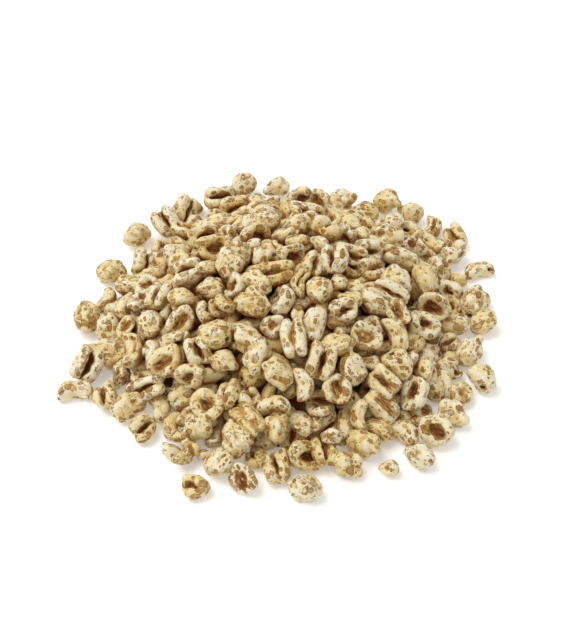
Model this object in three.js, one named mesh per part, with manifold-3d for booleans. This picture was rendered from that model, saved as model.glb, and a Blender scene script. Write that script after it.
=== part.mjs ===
// A loose heap of puffed spelt, as it lies after being poured onto a table.
// Units are millimetres, +Z is up, and the origin is on the table under the middle of the heap.
//
// The heap is one solid: a low mound with its outermost kernels standing out of it, each a faceted
// kernel of its own size and kind. The kernels are poured one at a time. Each slides and turns into
// the nearest hollow between those already there, and stays if it ends up under the mound's surface.
// A few kernels have rolled clear of the heap, and each of those is a piece of its own.

import * as THREE from 'three';
import { mergeVertices } from 'three/addons/utils/BufferGeometryUtils.js';
import Module from 'manifold-3d';

const mound = {
  height: 28.5, // of the middles of its topmost kernels
  reach: 59.5, // of the middles of its outermost kernels, from the axis
  lobes: [
    { count: 1, depth: 3.4, turn: 34 },
    { count: 2, depth: 0.8, turn: 48 },
    { count: 5, depth: 1.8, turn: -33 },
  ],
  ripple: { depth: 1.4, length: 29 },
  roundness: 0.95, // lower makes the heap squarer
  cover: 10.5, // of loose kernels over the hidden core
};

// The mound that joins the kernels. It rises a little over their middles.
const bed = { rise: 1.0, lip: 2.4, overhang: 1, sides: 28, rings: 7 };

// Sizes are those of a middling kernel of each kind. The furrow is how deep the crease along its belly
// is, and the bow is how far it bends sideways, as shares of its thickness and length. The sway is how
// far, in degrees, it may lie rolled over from belly up.
const kinds = {
  plump: { share: 14, length: 10.3, width: 8.3, thickness: 7.6, furrow: 0.1, bow: 0, sway: 180 },
  nubbed: { share: 10, length: 10.4, width: 8.0, thickness: 7.4, furrow: 0.1, bow: 0.02, sway: 180 },
  creased: { share: 26, length: 10.0, width: 8.3, thickness: 6.8, furrow: 0.34, bow: 0.04, sway: 80 },
  gaped: { share: 14, length: 10.4, width: 8.6, thickness: 6.5, furrow: 0.5, bow: 0.06, sway: 60 },
  curled: { share: 14, length: 9.1, width: 7.6, thickness: 5.4, furrow: 0.5, bow: 0.1, sway: 70 },
  bun: { share: 10, length: 12.4, width: 7.3, thickness: 6.2, furrow: 0.3, bow: 0.04, sway: 90 },
  crooked: { share: 6, length: 10.4, width: 5.4, thickness: 5.0, furrow: 0.16, bow: 0.2, sway: 180 },
  popped: { share: 4, length: 9.2, width: 6.6, thickness: 5.8, furrow: 0.2, bow: 0.1, sway: 180 },
  crumb: { share: 2, length: 6.4, width: 5.2, thickness: 4.6, furrow: 0.1, bow: 0, sway: 180 },
};
const sizeSpread = 0.15;
const shapeSpread = 0.2;
const tipShare = 0.72; // radius of a kernel's ends over that of its middle
const closeness = 0.95; // kernels nestle a little into each other's hollows

// Kernels laid on the table round the rim. Each has the direction it lies in and its distance from the
// axis, the way it points, and how far it is rolled over from belly up. The angles are in degrees.
// Those marked apart touch nothing.
const rim = [
  { kind: 'nubbed', at: 91, reach: 64.2, heading: 15, roll: 150 },
  { kind: 'plump', at: 101, reach: 66, heading: 40, roll: 200 },
  { kind: 'creased', at: 109, reach: 61, heading: 5, roll: 20 },
  { kind: 'crumb', at: 117, reach: 63, heading: 140, roll: 40 },
  { kind: 'creased', at: 122, reach: 60, heading: 65, roll: 60 },
  { kind: 'creased', at: 129, reach: 58.5, heading: -60, roll: 30 },
  { kind: 'plump', at: 139, reach: 61.5, heading: 40, roll: 210, apart: true },
  { kind: 'curled', at: 138, reach: 52, heading: 85, roll: 30 },
  { kind: 'plump', at: 156, reach: 59, heading: 25, roll: 190 },
  { kind: 'creased', at: 148, reach: 52, heading: 85, roll: 40 },
  { kind: 'nubbed', at: 159, reach: 50, heading: 25, roll: 180 },
  { kind: 'nubbed', at: 178, reach: 60, heading: 85, roll: 90 },
  { kind: 'plump', at: 172, reach: 51, heading: 65, roll: 160 },
  { kind: 'plump', at: -177, reach: 53, heading: 85, roll: 200 },
  { kind: 'crooked', at: -168, reach: 56, heading: -10, roll: 180 },
  { kind: 'creased', at: -163, reach: 61, heading: 65, roll: 30 },
  { kind: 'crooked', at: -156.5, reach: 67, heading: 5, roll: 180, apart: true },
  { kind: 'creased', at: -150, reach: 59.5, heading: -75, roll: 30 },
  { kind: 'popped', at: -157, reach: 52, heading: 85, roll: 0 },
  { kind: 'nubbed', at: -143, reach: 56, heading: 50, roll: 190 },
  { kind: 'creased', at: -134, reach: 58, heading: 45, roll: 35 },
  { kind: 'crooked', at: -137, reach: 49, heading: -75, roll: 180 },
  { kind: 'crooked', at: -128, reach: 51, heading: 85, roll: 180 },
  { kind: 'crumb', at: -122, reach: 59, heading: 0, roll: 40 },
  { kind: 'popped', at: -117, reach: 59, heading: 65, roll: 0 },
  { kind: 'curled', at: -111, reach: 67.5, heading: -35, roll: 20, apart: true },
  { kind: 'plump', at: -107, reach: 58, heading: 65, roll: 20 },
  { kind: 'gaped', at: -99, reach: 62, heading: -60, roll: 30 },
  { kind: 'creased', at: -90, reach: 57, heading: -80, roll: 25 },
  { kind: 'curled', at: -97, reach: 53, heading: -55, roll: 40 },
  { kind: 'plump', at: -83, reach: 65, heading: -25, roll: 170, apart: true },
  { kind: 'gaped', at: -82, reach: 54, heading: 15, roll: 40 },
  { kind: 'creased', at: -76, reach: 54, heading: -80, roll: -20 },
  { kind: 'nubbed', at: -70, reach: 60, heading: -40, roll: 160 },
  { kind: 'nubbed', at: -63, reach: 55, heading: -40, roll: 190 },
  { kind: 'crumb', at: -60, reach: 65, heading: -40, roll: 40, apart: true },
  { kind: 'crooked', at: -50, reach: 57, heading: -40, roll: 180 },
  { kind: 'plump', at: -52, reach: 67, heading: -15, roll: 200, apart: true },
  { kind: 'gaped', at: -43, reach: 64, heading: -40, roll: 30 },
  { kind: 'nubbed', at: -35, reach: 64, heading: -15, roll: 190 },
  { kind: 'curled', at: -27, reach: 62, heading: 65, roll: 190 },
  { kind: 'bun', at: -42, reach: 55, heading: 15, roll: 180 },
  { kind: 'plump', at: -20, reach: 66, heading: -75, roll: 120, apart: true },
  { kind: 'nubbed', at: -20, reach: 55, heading: -35, roll: 180 },
  { kind: 'nubbed', at: -11, reach: 60, heading: 65, roll: 190 },
  { kind: 'plump', at: 1, reach: 64, heading: 15, roll: 200 },
  { kind: 'plump', at: 9, reach: 63, heading: 65, roll: 180 },
  { kind: 'curled', at: 16, reach: 57, heading: -50, roll: 40 },
  { kind: 'crooked', at: 21.5, reach: 69.5, heading: 15, roll: 180, apart: true },
  { kind: 'nubbed', at: 29, reach: 64.5, heading: 55, roll: 60 },
  { kind: 'creased', at: 35, reach: 71, heading: -65, roll: 45, apart: true },
  { kind: 'bun', at: 35, reach: 57, heading: -55, roll: 180 },
  { kind: 'crooked', at: 42, reach: 68, heading: 75, roll: 0 },
  { kind: 'nubbed', at: 50, reach: 68, heading: -25, roll: 180 },
  { kind: 'curled', at: 45, reach: 60, heading: -65, roll: 60 },
  { kind: 'nubbed', at: 57, reach: 67, heading: -50, roll: 180 },
  { kind: 'plump', at: 61, reach: 59, heading: -15, roll: 180 },
  { kind: 'nubbed', at: 69, reach: 61, heading: -20, roll: 180 },
  { kind: 'curled', at: 77, reach: 60, heading: -65, roll: 60 },
  { kind: 'curled', at: 83, reach: 59, heading: 5, roll: 50 },
];

// Kernels let down onto the heap before its last layer is poured, described in the same way.
const crest = [
  { kind: 'bun', at: -148, reach: 2, heading: -5, roll: 35 },
  { kind: 'nubbed', at: -123, reach: 15, heading: -45, roll: 180 },
  { kind: 'crooked', at: -135, reach: 9, heading: -55, roll: 180 },
  { kind: 'plump', at: 147, reach: 14, heading: 95, roll: 180 },
  { kind: 'plump', at: 166, reach: 15, heading: 75, roll: 180 },
  { kind: 'curled', at: 60, reach: 8, heading: 20, roll: 40 },
  { kind: 'plump', at: -30, reach: 14, heading: 80, roll: 180 },
  { kind: 'creased', at: 18, reach: 18, heading: 80, roll: -20 },
  { kind: 'curled', at: -143, reach: 20, heading: 90, roll: 30 },
  { kind: 'bun', at: -62, reach: 22, heading: 75, roll: 160 },
  { kind: 'nubbed', at: -171, reach: 21, heading: 5, roll: 20 },
  { kind: 'curled', at: -152, reach: 25, heading: 90, roll: 35 },
  { kind: 'gaped', at: 146, reach: 24, heading: 20, roll: 30 },
  { kind: 'bun', at: -79, reach: 25, heading: -85, roll: 10 },
  { kind: 'nubbed', at: -112, reach: 25, heading: -65, roll: 190 },
  { kind: 'plump', at: -3, reach: 23, heading: 0, roll: 180 },
  { kind: 'curled', at: -36, reach: 24, heading: 25, roll: 35 },
  { kind: 'creased', at: 54, reach: 25, heading: 70, roll: 20 },
  { kind: 'plump', at: 76, reach: 27, heading: 95, roll: 180 },
  { kind: 'plump', at: 100, reach: 26, heading: 40, roll: 170 },
  { kind: 'plump', at: -132, reach: 28, heading: -15, roll: 180 },
  { kind: 'creased', at: 170, reach: 28, heading: -5, roll: 20 },
  { kind: 'nubbed', at: -102, reach: 30, heading: 80, roll: 180 },
  { kind: 'plump', at: -168, reach: 30, heading: -20, roll: 180 },
  { kind: 'nubbed', at: -54, reach: 30, heading: 15, roll: 190 },
  { kind: 'plump', at: -13, reach: 30, heading: -25, roll: 160 },
  { kind: 'creased', at: 16, reach: 30, heading: 45, roll: 20 },
  { kind: 'creased', at: 31, reach: 32, heading: 15, roll: 50 },
  { kind: 'gaped', at: -157, reach: 32, heading: 40, roll: 40 },
  { kind: 'creased', at: 137, reach: 32, heading: 45, roll: 20 },
  { kind: 'creased', at: -67, reach: 32, heading: 75, roll: 15 },
  { kind: 'nubbed', at: -118, reach: 33, heading: -25, roll: 200 },
  { kind: 'nubbed', at: 156, reach: 34, heading: 0, roll: 180 },
  { kind: 'gaped', at: -38, reach: 33, heading: -5, roll: 45 },
  { kind: 'nubbed', at: -90, reach: 34, heading: -25, roll: 180 },
  { kind: 'creased', at: -134, reach: 34, heading: -65, roll: 20 },
  { kind: 'curled', at: -148, reach: 36, heading: 5, roll: 60 },
  { kind: 'plump', at: -54, reach: 37, heading: -60, roll: 180 },
  { kind: 'crooked', at: -79, reach: 37, heading: -75, roll: 180 },
  { kind: 'nubbed', at: 8, reach: 37, heading: 5, roll: 180 },
  { kind: 'gaped', at: -14, reach: 37, heading: -65, roll: -10 },
  { kind: 'plump', at: 53, reach: 38, heading: 90, roll: 180 },
  { kind: 'crooked', at: -26, reach: 39, heading: -70, roll: 180 },
  { kind: 'plump', at: -167, reach: 40, heading: 105, roll: 180 },
  { kind: 'gaped', at: -64, reach: 40, heading: -70, roll: 15 },
  { kind: 'gaped', at: -130, reach: 40, heading: -10, roll: 60 },
  { kind: 'bun', at: 25, reach: 43, heading: 0, roll: 180 },
  { kind: 'gaped', at: -145, reach: 41, heading: 15, roll: 30 },
  { kind: 'popped', at: 178, reach: 43, heading: 15, roll: 0 },
  { kind: 'nubbed', at: 37, reach: 44, heading: 15, roll: 180 },
  { kind: 'crooked', at: -92, reach: 41, heading: -5, roll: 180 },
  { kind: 'plump', at: -36, reach: 44, heading: -25, roll: 180 },
  { kind: 'creased', at: -46, reach: 45, heading: -40, roll: 30 },
  { kind: 'gaped', at: -117, reach: 45, heading: -45, roll: 35 },
  { kind: 'gaped', at: -11, reach: 45, heading: -5, roll: 35 },
  { kind: 'nubbed', at: -91, reach: 47, heading: 65, roll: 180 },
  { kind: 'bun', at: -101, reach: 46, heading: -45, roll: 180 },
  { kind: 'popped', at: -79, reach: 47, heading: 15, roll: 0 },
  { kind: 'gaped', at: 2, reach: 48, heading: -15, roll: 50 },
  { kind: 'nubbed', at: 13, reach: 47, heading: 85, roll: 180 },
  { kind: 'bun', at: -144, reach: 49, heading: -5, roll: 40 },
  { kind: 'crooked', at: -60, reach: 48, heading: 80, roll: 180 },
  { kind: 'crooked', at: -161, reach: 47, heading: 95, roll: 0 },
  { kind: 'bun', at: -51, reach: 49, heading: -35, roll: 180 },
  { kind: 'gaped', at: -39, reach: 52, heading: 75, roll: -20 },
  { kind: 'creased', at: -118, reach: 50, heading: -20, roll: 180 },
  { kind: 'nubbed', at: -104, reach: 51, heading: -65, roll: 190 },
  { kind: 'popped', at: -71, reach: 50, heading: 55, roll: 0 },
  { kind: 'bun', at: 48, reach: 53, heading: 20, roll: 180 },
];

const pour = {
  seed: 4021,
  drops: 5000,
  crestAfter: 1500, // drops
  lastLayer: 5, // thickness of what is poured after that
  proud: 1, // how far a kernel laid by hand may stand out of the mound's surface
  bare: 0.6, // share of their radii that others keep away from it, where they would hide it
  slide: 0.9, // sideways, in one move while settling
  twist: 0.22, // in radians, in the same move
  moves: 26,
  steepest: 0.62, // slope of a kernel's long axis
  clearance: 0.6, // round a kernel that lies apart
  flat: 0.15, // depth of the flat spot that such a kernel rests on
};

const facets = { heap: [6, 3], loose: [10, 7] }; // sides and rings of a kernel
const tableBlock = [400, 400, 20]; // cut away from under everything
const finish = { roughness: 0.75, metalness: 0 };
const colors = { heap: 0xd3bb8b, loose: 0xe0cb9c };

const radians = THREE.MathUtils.degToRad;
const clamp = THREE.MathUtils.clamp;
const rounded = (value) => Math.round(value * 1000) / 1000;

// A small repeatable generator of numbers from 0 to 1.
function makeRandom(seed) {
  let state = seed;
  return () => {
    state = (state * 16807) % 2147483647;
    return state / 2147483647;
  };
}
const random = makeRandom(pour.seed);

// The distance from the axis to the rim of the mound in one direction.
function rimAt(x, y) {
  const angle = Math.atan2(y, x);
  return mound.lobes.reduce(
    (reach, lobe) => reach + lobe.depth * Math.cos(lobe.count * (angle - radians(lobe.turn))),
    mound.reach,
  );
}

// The height of the mound's surface, which runs through the middles of its topmost kernels.
function surfaceAt(x, y) {
  const share = Math.hypot(x, y) / rimAt(x, y);
  if (share >= 1) return 0;
  const wave = (2 * Math.PI) / mound.ripple.length;
  const ripple = mound.ripple.depth * Math.sin(wave * x + 1) * Math.sin(wave * y + 2);
  return (mound.height + ripple) * Math.cos((Math.PI / 2) * share) ** mound.roundness;
}

const coreAt = (x, y) => Math.max(0, surfaceAt(x, y) - mound.cover);

// Draws the size of the next kernel, and its kind unless that is given.
function drawKernel(given) {
  const names = Object.keys(kinds);
  let pick = random() * names.reduce((sum, name) => sum + kinds[name].share, 0);
  const drawn = names.find((name) => (pick -= kinds[name].share) <= 0);
  const kind = given ?? drawn;
  const size = 1 + sizeSpread * (random() + random() + random() - 1.5);
  const length = kinds[kind].length * size * (1 + shapeSpread * (random() - 0.5));
  const thickness = kinds[kind].thickness * size * (1 + shapeSpread * (random() - 0.5));
  const width = kinds[kind].width * size;
  const radius = (closeness * (width + thickness)) / 4;
  const tip = radius * tipShare;
  return { kind, length, width, thickness, radius, tip, half: length / 2 - tip };
}

// A kernel is weighed up as three balls along its length: a tip, the middle and the other tip.
function ballsOf(kernel, { x, y, z, heading, pitch }, margin = 0) {
  return [-1, 0, 1].map((end) => {
    const along = end * kernel.half;
    return {
      x: x + along * Math.cos(pitch) * Math.cos(heading),
      y: y + along * Math.cos(pitch) * Math.sin(heading),
      z: z + along * Math.sin(pitch),
      radius: (end === 0 ? kernel.radius : kernel.tip) + margin,
    };
  });
}

// How a kernel lies when it is let down at x, y until it touches what is there.
function letDown(kernel, { x, y, heading, pitch }, balls) {
  const [low, middle, high] = ballsOf(kernel, { x, y, z: 0, heading, pitch }).map((mine) => {
    let lowest = coreAt(mine.x, mine.y) + mine.radius;
    for (const ball of balls) {
      const gap = mine.radius + ball.radius;
      const over = gap * gap - (mine.x - ball.x) ** 2 - (mine.y - ball.y) ** 2;
      if (over > 0) lowest = Math.max(lowest, ball.z + Math.sqrt(over));
    }
    return lowest;
  });
  const z = Math.max(middle, (low + high) / 2);
  const rise = clamp((high - low) / 2, high - z, z - low) / kernel.half;
  return { x, y, z, heading, pitch: Math.atan(clamp(rise, -pour.steepest, pour.steepest)) };
}

// Slides and turns a kernel downhill until it lies in a hollow.
function settle(kernel, start, balls) {
  const farthest = pour.moves * pour.slide + kernel.length + kinds.bun.length;
  const near = balls.filter((ball) => Math.hypot(ball.x - start.x, ball.y - start.y) < farthest);
  let best = letDown(kernel, start, near);
  for (let move = 0; move < pour.moves; move++) {
    let lower = best;
    for (let side = 0; side < 8; side++) {
      const next = {
        x: best.x + pour.slide * Math.cos((Math.PI / 4) * side),
        y: best.y + pour.slide * Math.sin((Math.PI / 4) * side),
        heading: best.heading + (side % 2 ? pour.twist : -pour.twist),
        pitch: best.pitch,
      };
      const tried = letDown(kernel, next, near);
      if (tried.z < lower.z - 0.01) lower = tried;
    }
    if (lower === best) break;
    best = lower;
  }
  return best;
}

// Whether a kernel would hide one that was laid by hand.
function covers(kernel, lie, laid) {
  return ballsOf(kernel, lie).some((mine) =>
    laid.some((ball) => {
      const gap = pour.bare * (mine.radius + ball.radius);
      const away = (mine.x - ball.x) ** 2 + (mine.y - ball.y) ** 2;
      return mine.z > ball.z && away < gap * gap;
    }),
  );
}

// Lays down the rim's kernels, then pours the others between and over them, with the crest's kernels
// laid on what is there before the last layer.
function pourKernels() {
  const kernels = [];
  const balls = [];
  const laid = [];
  function keep(kernel, lie, roll, apart = false) {
    const rest = Object.fromEntries(Object.entries(lie).map(([key, value]) => [key, rounded(value)]));
    kernels.push({ ...kernel, ...rest, roll, apart });
    const own = ballsOf(kernel, rest, apart ? pour.clearance : 0);
    balls.push(...own);
    return own;
  }
  function letDownAt(spot) {
    const kernel = drawKernel(spot.kind);
    const x = spot.reach * Math.cos(radians(spot.at));
    const y = spot.reach * Math.sin(radians(spot.at));
    const lie = letDown(kernel, { x, y, heading: radians(spot.heading), pitch: 0 }, balls);
    lie.z = Math.min(lie.z, Math.max(surfaceAt(x, y), kernel.radius) + pour.proud);
    laid.push(...keep(kernel, lie, radians(spot.roll), spot.apart));
  }
  rim.forEach(letDownAt);
  for (let drop = 0; drop < pour.drops; drop++) {
    if (drop === pour.crestAfter) crest.forEach(letDownAt);
    const kernel = drawKernel();
    const angle = 2 * Math.PI * random();
    const reach = Math.sqrt(random()) * mound.reach;
    const heading = 2 * Math.PI * random();
    const roll = radians(kinds[kernel.kind].sway) * (2 * random() - 1);
    const start = { x: reach * Math.cos(angle), y: reach * Math.sin(angle), heading, pitch: 0 };
    const lie = settle(kernel, start, balls);
    const inside = Math.hypot(lie.x, lie.y) <= rimAt(lie.x, lie.y);
    const toCome = drop < pour.crestAfter ? pour.lastLayer : 0;
    const highest = Math.max(surfaceAt(lie.x, lie.y) - toCome, kernel.radius + 0.4);
    if (inside && lie.z <= highest && !covers(kernel, lie, laid)) keep(kernel, lie, roll);
  }
  return kernels;
}

// One faceted kernel with its length along X and the furrow of its belly towards +Z.
function kernelShape({ kind, length, width, thickness }, [sides, rings]) {
  const { furrow, bow } = kinds[kind];
  const swell = 1 / Math.sqrt(Math.cos(Math.PI / sides)); // makes up for what the facets cut off
  const shape = new THREE.SphereGeometry(swell / 2, sides, rings, Math.PI / 2).rotateZ(-Math.PI / 2);
  const points = shape.getAttribute('position');
  for (let i = 0; i < points.count; i++) {
    const [x, y, z] = [points.getX(i), points.getY(i), points.getZ(i)];
    const cut = z > 0 ? furrow * Math.exp(-((y / 0.16) ** 2)) * (1 - (2 * x) ** 4) : 0;
    points.setXYZ(i, x * length, y * width + bow * length * (4 * x * x - 0.4), (z - cut) * thickness);
  }
  return shape;
}

// The room that a kernel lying apart needs round it.
function grown(kernel) {
  const [length, width, thickness] = [kernel.length, kernel.width, kernel.thickness].map(
    (size) => size + 2 * pour.clearance,
  );
  return { ...kernel, length, width, thickness };
}

// A kernel's shape as it lies: its length along the heading and pitch, and rolled about that.
function laidShape(kernel, detail) {
  const lie = new THREE.Object3D();
  lie.position.set(kernel.x, kernel.y, kernel.z);
  lie.rotation.set(kernel.roll, -kernel.pitch, kernel.heading, 'ZYX');
  lie.updateMatrix();
  return kernelShape(kernel, detail).applyMatrix4(lie.matrix);
}

// The mound that fills the space between and under the kernels.
function bedShape() {
  const profile = [new THREE.Vector2(0, 0), new THREE.Vector2(1, 0)];
  for (let ring = bed.rings; ring >= 0; ring--) profile.push(new THREE.Vector2(ring / bed.rings, 1));
  const shape = new THREE.LatheGeometry(profile, bed.sides).rotateX(Math.PI / 2);
  const points = shape.getAttribute('position');
  for (let i = 0; i < points.count; i++) {
    const reach = rimAt(points.getX(i), points.getY(i)) + bed.overhang;
    const x = points.getX(i) * reach;
    const y = points.getY(i) * reach;
    points.setXYZ(i, x, y, points.getZ(i) > 0.5 ? Math.max(bed.lip, surfaceAt(x, y) + bed.rise) : 0);
  }
  return shape;
}

const wasm = await Module();
wasm.setup();

// A closed geometry as a solid that can be joined and cut.
function solidOf(geometry) {
  const bare = new THREE.BufferGeometry().setIndex(geometry.getIndex());
  bare.setAttribute('position', geometry.getAttribute('position'));
  const merged = mergeVertices(bare, 1e-3);
  const vertProperties = merged.getAttribute('position').array;
  const triVerts = new Uint32Array(merged.getIndex().array);
  return new wasm.Manifold(new wasm.Mesh({ numProp: 3, vertProperties, triVerts }));
}

// A solid, less what is under the table, as a named mesh.
function meshOf(name, color, solid) {
  const under = new THREE.BoxGeometry(...tableBlock).translate(0, 0, -tableBlock[2] / 2);
  const { vertProperties, triVerts } = solid.subtract(solidOf(under)).getMesh();
  const geometry = new THREE.BufferGeometry();
  geometry.setAttribute('position', new THREE.BufferAttribute(vertProperties, 3));
  geometry.setIndex(new THREE.BufferAttribute(triVerts, 1));
  geometry.computeVertexNormals();
  const mesh = new THREE.Mesh(geometry, new THREE.MeshStandardMaterial({ color, ...finish }));
  mesh.name = name;
  return mesh;
}

// The heap: the bed with its kernels, and with room left for those that lie apart.
function heapSolid(lying, strays) {
  const room = (stray) => solidOf(laidShape(grown(stray), facets.loose));
  const bare = strays.reduce((left, stray) => left.subtract(room(stray)), solidOf(bedShape()));
  return lying.reduce((joined, kernel) => joined.add(solidOf(laidShape(kernel, facets.heap))), bare);
}

// A kernel that lies apart, on a small flat spot.
function straySolid(stray) {
  const shape = laidShape(stray, facets.loose);
  shape.computeBoundingBox();
  return solidOf(shape.translate(0, 0, -shape.boundingBox.min.z - pour.flat));
}

const kernels = pourKernels();
const lying = kernels.filter((kernel) => !kernel.apart);
const strays = kernels.filter((kernel) => kernel.apart);

const spelt = new THREE.Group();
spelt.add(meshOf('heap', colors.heap, heapSolid(lying, strays)));
strays.forEach((stray, i) => {
  spelt.add(meshOf(`loose_kernel_${i + 1}`, colors.loose, straySolid(stray)));
});

// Puts the origin under the middle of the whole.
const middle = new THREE.Box3().setFromObject(spelt).getCenter(new THREE.Vector3());
spelt.position.set(-middle.x, -middle.y, 0);

export default spelt;
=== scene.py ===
# A loose heap of puffed spelt: real kernels poured over a dark core, in the frame of the solid model.
import itertools
import math

import bpy
import numpy as np
from mathutils import Matrix, Vector


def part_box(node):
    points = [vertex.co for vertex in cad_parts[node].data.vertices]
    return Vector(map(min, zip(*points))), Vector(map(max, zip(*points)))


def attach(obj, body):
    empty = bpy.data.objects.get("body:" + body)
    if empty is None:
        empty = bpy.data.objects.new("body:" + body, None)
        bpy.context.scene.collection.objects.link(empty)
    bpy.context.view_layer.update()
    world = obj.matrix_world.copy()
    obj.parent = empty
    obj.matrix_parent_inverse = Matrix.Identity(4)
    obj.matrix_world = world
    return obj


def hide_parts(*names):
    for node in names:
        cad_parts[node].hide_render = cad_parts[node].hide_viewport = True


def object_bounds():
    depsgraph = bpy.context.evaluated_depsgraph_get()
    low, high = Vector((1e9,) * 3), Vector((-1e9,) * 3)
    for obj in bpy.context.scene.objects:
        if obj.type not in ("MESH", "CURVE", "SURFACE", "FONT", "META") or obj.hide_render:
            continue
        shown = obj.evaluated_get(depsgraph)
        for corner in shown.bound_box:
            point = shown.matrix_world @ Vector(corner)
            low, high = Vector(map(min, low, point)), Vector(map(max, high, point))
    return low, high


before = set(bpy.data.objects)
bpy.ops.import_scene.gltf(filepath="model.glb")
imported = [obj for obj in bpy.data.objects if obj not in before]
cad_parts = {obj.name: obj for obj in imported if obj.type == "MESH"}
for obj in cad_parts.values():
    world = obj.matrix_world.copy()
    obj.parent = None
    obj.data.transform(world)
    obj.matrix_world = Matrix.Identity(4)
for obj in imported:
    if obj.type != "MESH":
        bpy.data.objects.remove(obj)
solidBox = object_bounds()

mm = 0.001

# The heap, in millimetres from its own axis. These follow the solid model.
mound = {
    "height": 28.5,  # of the middles of its topmost kernels
    "reach": 59.5,  # of the middles of its outermost kernels
    "lobes": [(1, 3.4, 34), (2, 0.8, 48), (5, 1.8, -33)],  # count, depth, turn in degrees
    "ripple": (1.4, 29),  # depth, length
    "roundness": 0.95,
    "cover": 10.5,  # of loose kernels over the core
}

# share, length, width, thickness, and how far in degrees a kernel may lie rolled over from belly up
kinds = {
    "plump": (14, 10.3, 8.3, 7.6, 180),
    "nubbed": (10, 10.4, 8.0, 7.4, 180),
    "creased": (26, 10.0, 8.3, 6.8, 80),
    "gaped": (14, 10.4, 8.6, 6.5, 60),
    "curled": (14, 9.1, 7.6, 5.4, 70),
    "bun": (10, 12.4, 7.3, 6.2, 90),
    "crooked": (6, 10.4, 5.4, 5.0, 180),
    "popped": (4, 9.2, 6.6, 5.8, 180),
    "crumb": (2, 6.4, 5.2, 4.6, 180),
}

# Kernels laid on the table round the rim: kind, direction they lie in, distance from the axis,
# heading, roll, and True if they lie apart. The angles are in degrees.
rim = [
    ("nubbed", 91, 64.2, 15, 150),
    ("plump", 101, 66, 40, 200),
    ("creased", 109, 61, 5, 20),
    ("crumb", 117, 63, 140, 40),
    ("creased", 122, 60, 65, 60),
    ("creased", 129, 58.5, -60, 30),
    ("plump", 139, 61.5, 40, 210, True),
    ("curled", 138, 52, 85, 30),
    ("plump", 156, 59, 25, 190),
    ("creased", 148, 52, 85, 40),
    ("nubbed", 159, 50, 25, 180),
    ("nubbed", 178, 60, 85, 90),
    ("plump", 172, 51, 65, 160),
    ("plump", -177, 53, 85, 200),
    ("crooked", -168, 56, -10, 180),
    ("creased", -163, 61, 65, 30),
    ("crooked", -156.5, 67, 5, 180, True),
    ("creased", -150, 59.5, -75, 30),
    ("popped", -157, 52, 85, 0),
    ("nubbed", -143, 56, 50, 190),
    ("creased", -134, 58, 45, 35),
    ("crooked", -137, 49, -75, 180),
    ("crooked", -128, 51, 85, 180),
    ("crumb", -122, 59, 0, 40),
    ("popped", -117, 59, 65, 0),
    ("curled", -111, 67.5, -35, 20, True),
    ("plump", -107, 58, 65, 20),
    ("gaped", -99, 62, -60, 30),
    ("creased", -90, 57, -80, 25),
    ("curled", -97, 53, -55, 40),
    ("plump", -83, 65, -25, 170, True),
    ("gaped", -82, 54, 15, 40),
    ("creased", -76, 54, -80, -20),
    ("nubbed", -70, 60, -40, 160),
    ("nubbed", -63, 55, -40, 190),
    ("crumb", -60, 65, -40, 40, True),
    ("crooked", -50, 57, -40, 180),
    ("plump", -52, 67, -15, 200, True),
    ("gaped", -43, 64, -40, 30),
    ("nubbed", -35, 64, -15, 190),
    ("curled", -27, 62, 65, 190),
    ("bun", -42, 55, 15, 180),
    ("plump", -20, 66, -75, 120, True),
    ("nubbed", -20, 55, -35, 180),
    ("nubbed", -11, 60, 65, 190),
    ("plump", 1, 64, 15, 200),
    ("plump", 9, 63, 65, 180),
    ("curled", 16, 57, -50, 40),
    ("crooked", 21.5, 69.5, 15, 180, True),
    ("nubbed", 29, 64.5, 55, 60),
    ("creased", 35, 71, -65, 45, True),
    ("bun", 35, 57, -55, 180),
    ("crooked", 42, 68, 75, 0),
    ("nubbed", 50, 68, -25, 180),
    ("curled", 45, 60, -65, 60),
    ("nubbed", 57, 67, -50, 180),
    ("plump", 61, 59, -15, 180),
    ("nubbed", 69, 61, -20, 180),
    ("curled", 77, 60, -65, 60),
    ("curled", 83, 59, 5, 50),
]

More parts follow.
